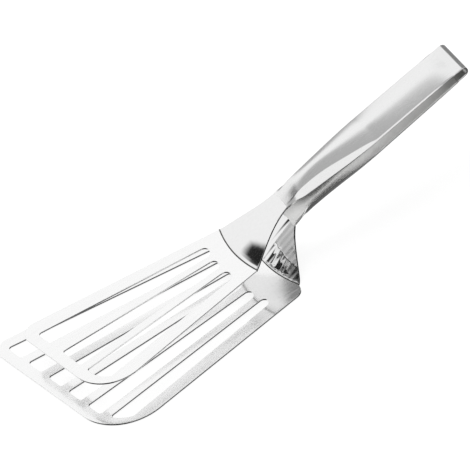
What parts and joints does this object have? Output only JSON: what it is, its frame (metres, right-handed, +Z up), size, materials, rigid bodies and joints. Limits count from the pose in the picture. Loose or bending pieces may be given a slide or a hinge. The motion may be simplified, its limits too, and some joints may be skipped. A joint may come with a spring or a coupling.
{
  "type": "barbecue tongs",
  "caption": "One-piece sheet-steel spatula tongs: slotted blades on flared shanks, long folded arms and a U-shaped spring bow that opens them again.",
  "frame": {"origin": "on the underside of the lower blade in the middle plane, on the plain steel between the slots and the crease", "axes": "+X along the middle plane from the blades to the spring bow, +Z up from the lower blade to the upper blade, +Y to the side where the blades reach furthest"},
  "size_m": [0.2874, 0.1069, 0.0562],
  "materials": {
    "blade_steel": "bright rolled stainless sheet, left plain on the blades",
    "polished_steel": "stainless sheet with a polished, mirror-like flare",
    "satin_steel": "satin stainless sheet, fine grain, on the arms and the bow"
  },
  "bodies": {
    "lower_half": {"lower_blade": "blade_steel", "lower_shank": "polished_steel", "lower_arm": "satin_steel", "spring_bow": "satin_steel"},
    "upper_half": {"upper_arm": "satin_steel", "upper_shank": "polished_steel", "upper_blade": "blade_steel"}
  },
  "joints": [
    {"name": "squeeze", "type": "hinge", "parent": "lower_half", "child": "upper_half", "pos_m": [0.1485, 0, 0.053], "axis": [0, 1, 0], "range_deg": [-3, 6], "stiffness_Nm_per_rad": 12, "springref_deg": 0.38, "deforming": ["spring_bow"]}
  ]
}
